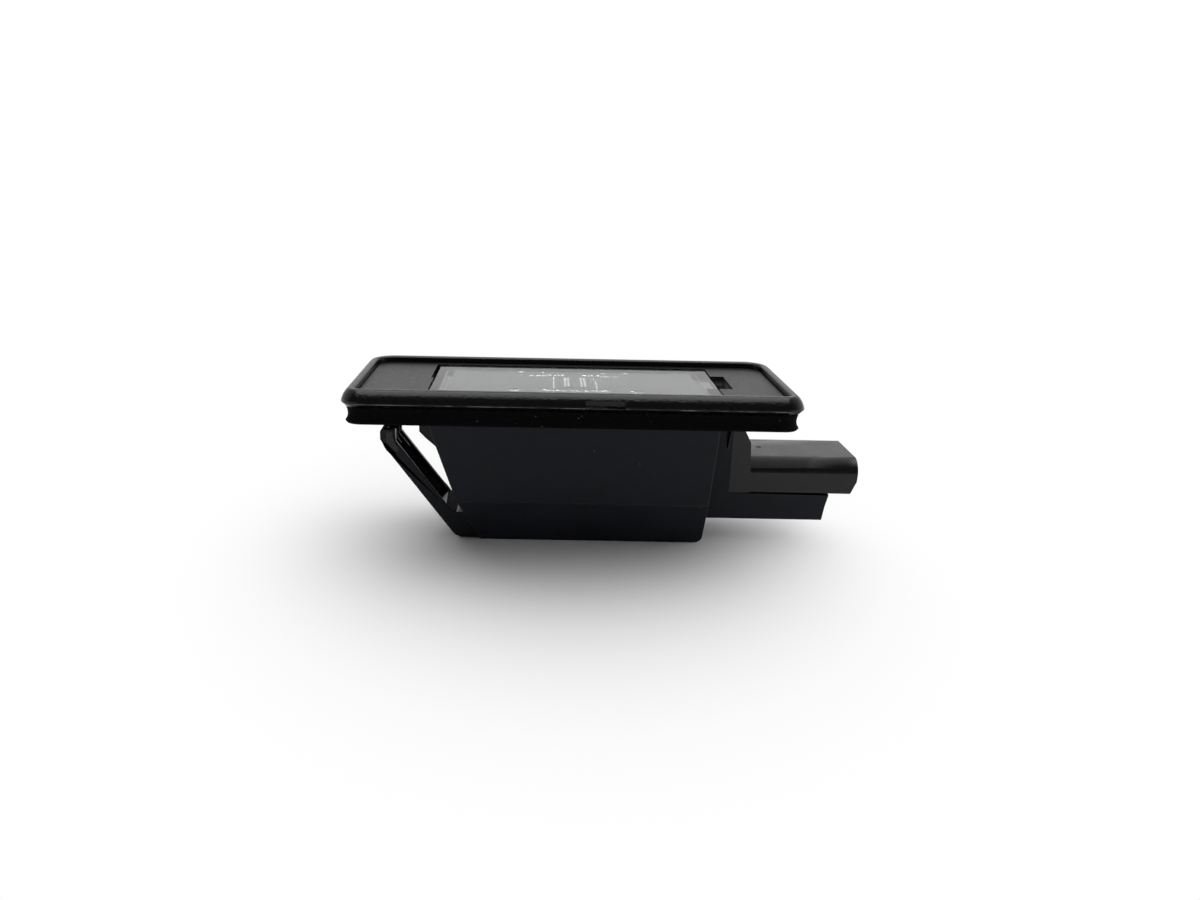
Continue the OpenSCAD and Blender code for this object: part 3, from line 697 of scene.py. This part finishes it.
class LAMP_OT_filament(bpy.types.Operator):
    """Winds the filament's coil between the ends of the leads"""
    bl_idname = "lamp.filament"
    bl_label = "Filament"

    turn_points = 10            # points of the curve in one turn of the coil

    def execute(self, context):
        coil = context.scene.lamp_coil
        low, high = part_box("bulb_filament")
        centre = (low + high) / 2
        radius = (high.x - low.x) / 2 - coil.wire / 2
        ends = [low.y + coil.wire / 2, high.y - coil.wire / 2]
        steps = coil.turns * self.turn_points
        curve = bpy.data.curves.new("filament_coil", "CURVE")
        curve.dimensions = "3D"
        curve.bevel_depth = coil.wire / 2
        curve.bevel_resolution = 1
        curve.use_fill_caps = True
        spline = curve.splines.new("POLY")
        spline.points.add(steps)
        for index, point in enumerate(spline.points):
            share = index / steps
            turn = share * coil.turns * math.tau
            point.co = (centre.x + radius * math.cos(turn), ends[0] + share * (ends[1] - ends[0]),
                        centre.z + radius * math.sin(turn), 1)
        piece = bpy.data.objects.new("filament_coil", curve)
        context.scene.collection.objects.link(piece)
        curve.materials.append(metal(
            "Tungsten, drawn and coiled", context.scene.lamp_finish.tungsten, roughness=0.45,
            line_mm=0.03, along=1))
        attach(piece, "root")
        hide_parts("bulb_filament")
        return {"FINISHED"}


def sent_on(tree, path):
    """1 for a ray that a glossy or clear surface sends on, and otherwise 0."""
    either = add_node(tree, "ShaderNodeMath", {
        0: path.outputs["Is Glossy Ray"], 1: path.outputs["Is Transmission Ray"]},
        operation="MAXIMUM")
    return either.outputs["Value"]


class LAMP_OT_stage(bpy.types.Operator):
    """Lays the pale floor, sets the soft light and places the camera"""
    bl_idname = "lamp.stage"
    bl_label = "Studio"

    floor_half = 3.0            # half the floor's side, in metres
    oval = (1, 0.75, 0)         # the floor's painted white glow, which covers the shadow's outer part, starts sooner beside the lamp than in front
    toward = (0.46, 0.89, -0.28)        # the backdrop is brightest behind, to the right and low
    shed_span = (-0.6, 1.0)     # its light grows from dim to full between these shares of that way
    shed_dim = 0.02             # its strength where it is dim
    mirror_span = (-0.5, 0.1)   # what is mirrored turns from room to backdrop between these
    box_size = (0.42, 0.56)     # the softbox's sides along and across the lamp, in metres
    box_height = 0.42           # its height over the lamp, in metres
    film = 36                   # the camera's frame width, in millimetres

    def execute(self, context):
        scene = context.scene
        studio = scene.lamp_studio
        self.floor(scene, studio)
        self.light(scene, studio)
        self.camera(scene, studio)
        scene.view_settings.view_transform = "Standard"
        return {"FINISHED"}

    def floor(self, scene, studio):
        """White paper that shows the lamp's shadow near it. Further out it glows plain white, and
        this painted light also covers the outer part of the shadow, beside the lamp soonest.
        """
        mesh = bpy.data.meshes.new("floor")
        half = self.floor_half
        corners = [(x, y, FLOOR_Z) for x, y in (
            (-half, -half), (half, -half), (half, half), (-half, half))]
        mesh.from_pydata(corners, [], [(0, 1, 2, 3)])
        floor = bpy.data.objects.new("floor", mesh)
        scene.collection.objects.link(floor)
        material, tree, output = new_material("Paper backdrop, matt white")
        path = add_node(tree, "ShaderNodeLightPath")
        seen = add_node(tree, "ShaderNodeMath", {
            0: path.outputs["Is Camera Ray"], 1: sent_on(tree, path)}, operation="MAXIMUM")
        matt = add_node(tree, "ShaderNodeBsdfDiffuse", {"Color": list(studio.floor)})
        place = add_node(tree, "ShaderNodeTexCoord").outputs["Object"]
        spread = add_node(tree, "ShaderNodeVectorMath", {
            0: place, 1: self.oval}, operation="MULTIPLY")
        away = add_node(tree, "ShaderNodeVectorMath", {
            0: spread.outputs["Vector"]}, operation="LENGTH")
        # painted light: from a quarter of the fade distance on, a white glow is mixed over the
        # floor and the outer part of the lamp's shadow
        share = add_node(tree, "ShaderNodeMapRange", {
            "Value": away.outputs["Value"], "From Min": studio.fade / 4, "From Max": studio.fade},
            interpolation_type="SMOOTHSTEP")
        white = add_node(tree, "ShaderNodeMath", {
            0: share.outputs["Result"], 1: seen.outputs["Value"]}, operation="MULTIPLY")
        plain = add_node(tree, "ShaderNodeEmission", {"Color": (1, 1, 1, 1), "Strength": 1.0})
        paper = add_node(tree, "ShaderNodeMixShader", {
            0: white.outputs["Value"], 1: matt.outputs["BSDF"], 2: plain.outputs["Emission"]})
        tree.links.new(paper.outputs["Shader"], output.inputs["Surface"])
        mesh.materials.append(material)

    def light(self, scene, studio):
        """A backdrop that lights the lamp, a calmer one that it mirrors, and a softbox."""
        world = bpy.data.worlds.new("White backdrop, dim room in front")
        scene.world = world
        world.use_nodes = True
        tree = world.node_tree
        tree.nodes.clear()
        output = tree.nodes.new("ShaderNodeOutputWorld")
        path = add_node(tree, "ShaderNodeLightPath")
        way = add_node(tree, "ShaderNodeTexCoord").outputs["Generated"]
        # what matt surfaces get
        behind = add_node(tree, "ShaderNodeVectorMath", {
            0: way, 1: self.toward}, operation="DOT_PRODUCT")
        shed = add_node(tree, "ShaderNodeMapRange", {
            "Value": behind.outputs["Value"], "From Min": self.shed_span[0],
            "From Max": self.shed_span[1], "To Min": self.shed_dim, "To Max": studio.sky},
            interpolation_type="SMOOTHSTEP")
        # what glossy and clear surfaces show: pale behind and above, dim behind the camera
        depth = add_node(tree, "ShaderNodeSeparateXYZ", {"Vector": way})
        mirrored = add_node(tree, "ShaderNodeMapRange", {
            "Value": depth.outputs["Y"], "From Min": self.mirror_span[0],
            "From Max": self.mirror_span[1], "To Min": studio.front, "To Max": studio.back},
            interpolation_type="SMOOTHSTEP")
        lit = add_node(tree, "ShaderNodeMix", {
            "Factor": sent_on(tree, path), "A": shed.outputs["Result"],
            "B": mirrored.outputs["Result"]})
        # the camera sees white
        strength = add_node(tree, "ShaderNodeMath", {
            0: lit.outputs["Result"], 1: path.outputs["Is Camera Ray"]}, operation="MAXIMUM")
        sky = add_node(tree, "ShaderNodeBackground", {
            "Color": (1, 1, 1, 1), "Strength": strength.outputs["Value"]})
        tree.links.new(sky.outputs["Background"], output.inputs["Surface"])
        lamp = bpy.data.lights.new("overhead_softbox", "AREA")
        lamp.shape = "RECTANGLE"
        lamp.size, lamp.size_y = self.box_size
        lamp.energy = studio.key
        softbox = bpy.data.objects.new("overhead_softbox", lamp)
        softbox.location = (0, 0, self.box_height)
        softbox.visible_diffuse = False     # it gives highlights, and the backdrop the light
        scene.collection.objects.link(softbox)

    def camera(self, scene, studio):
        """The photograph's view."""
        data = bpy.data.cameras.new("studio_camera")
        data.sensor_width = self.film
        data.sensor_fit = "HORIZONTAL"
        data.lens = studio.focal
        data.shift_x = studio.shift
        data.clip_start = 10 * MM
        camera = bpy.data.objects.new("studio_camera", data)
        tilt = Matrix.Rotation(math.radians(90) - studio.pitch, 4, "X")
        lean = Matrix.Rotation(studio.roll, 4, "Z")
        camera.matrix_world = Matrix.Translation(studio.eye) @ tilt @ lean
        scene.collection.objects.link(camera)
        scene.camera = camera


class LAMP_PT_sidebar(bpy.types.Panel):
    """Sizes, colours and steps of the lamp"""
    bl_idname = "LAMP_PT_sidebar"
    bl_label = "Plate lamp"
    bl_space_type = "VIEW_3D"
    bl_region_type = "UI"
    bl_category = "Plate lamp"

    def draw(self, context):
        scene = context.scene
        for group in (scene.lamp_finish, scene.lamp_coil, scene.lamp_studio):
            box = self.layout.box()
            for name in group.__annotations__:
                box.prop(group, name)
        for operator in OPERATORS:
            self.layout.operator(operator.bl_idname)


OPERATORS = (LAMP_OT_housing, LAMP_OT_gasket, LAMP_OT_lens, LAMP_OT_holder, LAMP_OT_terminals,
             LAMP_OT_bulb, LAMP_OT_filament, LAMP_OT_stage)
CLASSES = (LampFinish, LampCoil, LampStudio) + OPERATORS + (LAMP_PT_sidebar,)


def register():
    for cls in CLASSES:
        bpy.utils.register_class(cls)
    bpy.types.Scene.lamp_finish = bpy.props.PointerProperty(type=LampFinish)
    bpy.types.Scene.lamp_coil = bpy.props.PointerProperty(type=LampCoil)
    bpy.types.Scene.lamp_studio = bpy.props.PointerProperty(type=LampStudio)


def unregister():
    for name in ("lamp_studio", "lamp_coil", "lamp_finish"):
        delattr(bpy.types.Scene, name)
    for cls in reversed(CLASSES):
        bpy.utils.unregister_class(cls)


def main():
    register()
    bpy.ops.lamp.housing()
    bpy.ops.lamp.gasket()
    bpy.ops.lamp.lens()
    bpy.ops.lamp.holder()
    bpy.ops.lamp.terminals()
    bpy.ops.lamp.bulb()
    bpy.ops.lamp.filament()
    bpy.ops.lamp.stage()


if __name__ == "__main__":
    main()
